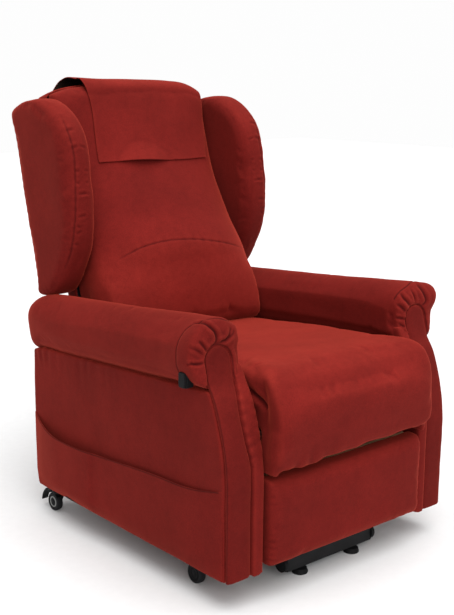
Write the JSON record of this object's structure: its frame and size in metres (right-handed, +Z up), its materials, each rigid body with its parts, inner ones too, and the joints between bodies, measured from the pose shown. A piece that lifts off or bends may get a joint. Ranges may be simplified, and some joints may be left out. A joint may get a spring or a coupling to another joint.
{
  "type": "lift recliner chair",
  "caption": "Wing-back power lift and recline armchair in brick-red suede: scissor lift base, swing-out legrest, side pocket, handset and braked casters.",
  "frame": {"origin": "centre of the bounding footprint, on the floor", "axes": "+Z up, the sitter faces -Y, the sitter's left is +X"},
  "size_m": [0.7672, 0.9816, 1.1362],
  "materials": {
    "suede": "soft brushed suede, brick red",
    "backing": "woven webbing and dust cloth",
    "wood": "bare plywood",
    "black_steel": "black powder coat",
    "bright_steel": "zinc plated",
    "black_plastic": "fine texture",
    "grey_plastic": "smooth",
    "wheel": "black tread on a grey hub"
  },
  "bodies": {
    "base": {"base_frame": "black_steel", "crossbar_cap_left": "black_plastic", "crossbar_cap_right": "black_plastic", "glide_front_left": "black_plastic", "glide_front_right": "black_plastic", "glide_rear_left": "black_plastic", "glide_rear_right": "black_plastic", "front_shaft": "bright_steel", "lift_actuator_housing": "black_plastic"},
    "front_arm": {"lift_arm_front": "black_steel"},
    "rear_arms": {"lift_arm_rear_left": "black_steel", "lift_arm_rear_right": "black_steel"},
    "lift_rod": {"lift_actuator_rod": "bright_steel"},
    "chair": {"subframe": "black_steel", "lift_hanger_left": "black_steel", "lift_hanger_right": "black_steel", "seat_deck": "backing", "recline_actuator_housing": "black_plastic", "legrest_actuator_housing": "black_plastic", "control_box": "black_plastic", "rear_panel": "suede", "side_panel_left": "suede", "side_panel_right": "suede", "arm_roll_left": "suede", "arm_roll_right": "suede", "arm_facing_left": "suede", "arm_facing_right": "suede", "handset_clip": "black_plastic", "side_pocket": "suede", "seat_cushion": "suede"},
    "backrest": {"back_frame": "black_steel", "back_cushion": "suede", "back_shell": "suede", "back_wing_left": "suede", "back_wing_right": "suede", "head_cover": "suede"},
    "recline_rod": {"recline_actuator_rod": "bright_steel"},
    "legrest_arms": {"legrest_arm_left": "black_steel", "legrest_arm_right": "black_steel", "legrest_cross_tube": "black_steel"},
    "legrest_guides": {"legrest_guide_left": "black_steel", "legrest_guide_right": "black_steel"},
    "legrest_couplers": {"legrest_coupler_left": "black_steel", "legrest_coupler_right": "black_steel"},
    "footrest": {"legrest_board": "wood", "legrest_panel": "suede"},
    "legrest_rod": {"legrest_actuator_rod": "bright_steel"},
    "handset": {"handset_shell": "black_plastic"},
    "button_up": {"handset_button_up": "grey_plastic"},
    "button_down": {"handset_button_down": "grey_plastic"},
    "caster_front_left": {"caster_fork_front_left": "black_plastic"},
    "wheel_front_left": {"caster_wheel_front_left": "wheel"},
    "caster_front_right": {"caster_fork_front_right": "black_plastic"},
    "wheel_front_right": {"caster_wheel_front_right": "wheel"},
    "caster_rear_left": {"caster_fork_rear_left": "black_plastic"},
    "wheel_rear_left": {"caster_wheel_rear_left": "wheel"},
    "caster_rear_right": {"caster_fork_rear_right": "black_plastic"},
    "wheel_rear_right": {"caster_wheel_rear_right": "wheel"},
    "pedal_left": {"brake_pedal_left": "black_plastic"},
    "pedal_right": {"brake_pedal_right": "black_plastic"}
  },
  "joints": [
    {"name": "lift", "type": "hinge", "parent": "base", "child": "front_arm", "pos_m": [0, -0.33577, 0.075], "axis": [1, 0, 0], "range_deg": [0, 50]},
    {"name": "chair_tilt", "type": "hinge", "parent": "front_arm", "child": "chair", "pos_m": [0, -0.02577, 0.112], "axis": [1, 0, 0], "range_deg": [-25, 0]},
    {"name": "rear_arm_swing", "type": "hinge", "parent": "base", "child": "rear_arms", "pos_m": [0, -0.29547, 0.0909], "axis": [1, 0, 0], "range_deg": [0, 45]},
    {"name": "lift_rod_travel", "type": "slide", "parent": "base", "child": "lift_rod", "axis": [0, -0.9945, 0.1047], "range_m": [0, 0.08501]},
    {"name": "recline", "type": "hinge", "parent": "chair", "child": "backrest", "pos_m": [0, 0.22423, 0.4], "axis": [-1, 0, 0], "range_deg": [0, 45]},
    {"name": "recline_rod_travel", "type": "slide", "parent": "chair", "child": "recline_rod", "axis": [0, -1, 0], "range_m": [0, 0.1]},
    {"name": "legrest", "type": "hinge", "parent": "chair", "child": "legrest_arms", "pos_m": [0, -0.22578, 0.32], "axis": [-1, 0, 0], "range_deg": [0, 85]},
    {"name": "legrest_guide_swing", "type": "hinge", "parent": "chair", "child": "legrest_guides", "pos_m": [0, -0.18616, 0.29866], "axis": [-1, 0, 0], "range_deg": [0, 85]},
    {"name": "legrest_coupler_turn", "type": "hinge", "parent": "legrest_arms", "child": "legrest_couplers", "pos_m": [0, -0.15053, 0.11327], "axis": [-1, 0, 0], "range_deg": [-85, 0]},
    {"name": "footrest_turn", "type": "hinge", "parent": "legrest_couplers", "child": "footrest", "pos_m": [0, -0.38577, 0.24], "axis": [-1, 0, 0], "range_deg": [0, 78]},
    {"name": "legrest_rod_travel", "type": "slide", "parent": "chair", "child": "legrest_rod", "axis": [0, -1, 0], "range_m": [0, 0.10859]},
    {"name": "handset_lift_out", "type": "slide", "parent": "chair", "child": "handset", "axis": [0, 0, 1], "range_m": [0, 0.15]},
    {"name": "handset_up_press", "type": "slide", "parent": "handset", "child": "button_up", "axis": [1, 0, 0], "range_m": [0, 0.0015], "stiffness_N_per_m": 500, "springref_m": -0.002},
    {"name": "handset_down_press", "type": "slide", "parent": "handset", "child": "button_down", "axis": [1, 0, 0], "range_m": [0, 0.0015], "stiffness_N_per_m": 500, "springref_m": -0.002},
    {"name": "caster_swivel_front_left", "type": "hinge", "parent": "chair", "child": "caster_front_left", "pos_m": [0.309, -0.28578, 0.06], "axis": [0, 0, 1], "continuous": true},
    {"name": "caster_roll_front_left", "type": "hinge", "parent": "caster_front_left", "child": "wheel_front_left", "pos_m": [0.309, -0.26777, 0.025], "axis": [1, 0, 0], "continuous": true},
    {"name": "caster_swivel_front_right", "type": "hinge", "parent": "chair", "child": "caster_front_right", "pos_m": [-0.309, -0.28578, 0.06], "axis": [0, 0, 1], "continuous": true},
    {"name": "caster_roll_front_right", "type": "hinge", "parent": "caster_front_right", "child": "wheel_front_right", "pos_m": [-0.309, -0.26777, 0.025], "axis": [1, 0, 0], "continuous": true},
    {"name": "caster_swivel_rear_left", "type": "hinge", "parent": "chair", "child": "caster_rear_left", "pos_m": [0.333, 0.29023, 0.06], "axis": [0, 0, 1], "continuous": true},
    {"name": "caster_roll_rear_left", "type": "hinge", "parent": "caster_rear_left", "child": "wheel_rear_left", "pos_m": [0.333, 0.30823, 0.025], "axis": [1, 0, 0], "continuous": true},
    {"name": "brake_left", "type": "hinge", "parent": "caster_rear_left", "child": "pedal_left", "pos_m": [0.333, 0.31523, 0.056], "axis": [-1, 0, 0], "range_deg": [0, 10]},
    {"name": "caster_swivel_rear_right", "type": "hinge", "parent": "chair", "child": "caster_rear_right", "pos_m": [-0.333, 0.29023, 0.06], "axis": [0, 0, 1], "continuous": true},
    {"name": "caster_roll_rear_right", "type": "hinge", "parent": "caster_rear_right", "child": "wheel_rear_right", "pos_m": [-0.333, 0.30823, 0.025], "axis": [1, 0, 0], "continuous": true},
    {"name": "brake_right", "type": "hinge", "parent": "caster_rear_right", "child": "pedal_right", "pos_m": [-0.333, 0.31523, 0.056], "axis": [-1, 0, 0], "range_deg": [0, 10]}
  ],
  "couplings": [
    {"joint": "chair_tilt", "follows": "lift", "ratio": -0.5},
    {"joint": "rear_arm_swing", "follows": "lift", "ratio": 0.881},
    {"joint": "lift_rod_travel", "follows": "lift", "m_per_rad": 0.096842},
    {"joint": "recline_rod_travel", "follows": "recline", "m_per_rad": 0.12668},
    {"joint": "legrest_guide_swing", "follows": "legrest", "ratio": 1},
    {"joint": "legrest_coupler_turn", "follows": "legrest", "ratio": -1},
    {"joint": "footrest_turn", "follows": "legrest", "ratio": 0.91765},
    {"joint": "legrest_rod_travel", "follows": "legrest", "m_per_rad": 0.072863}
  ]
}
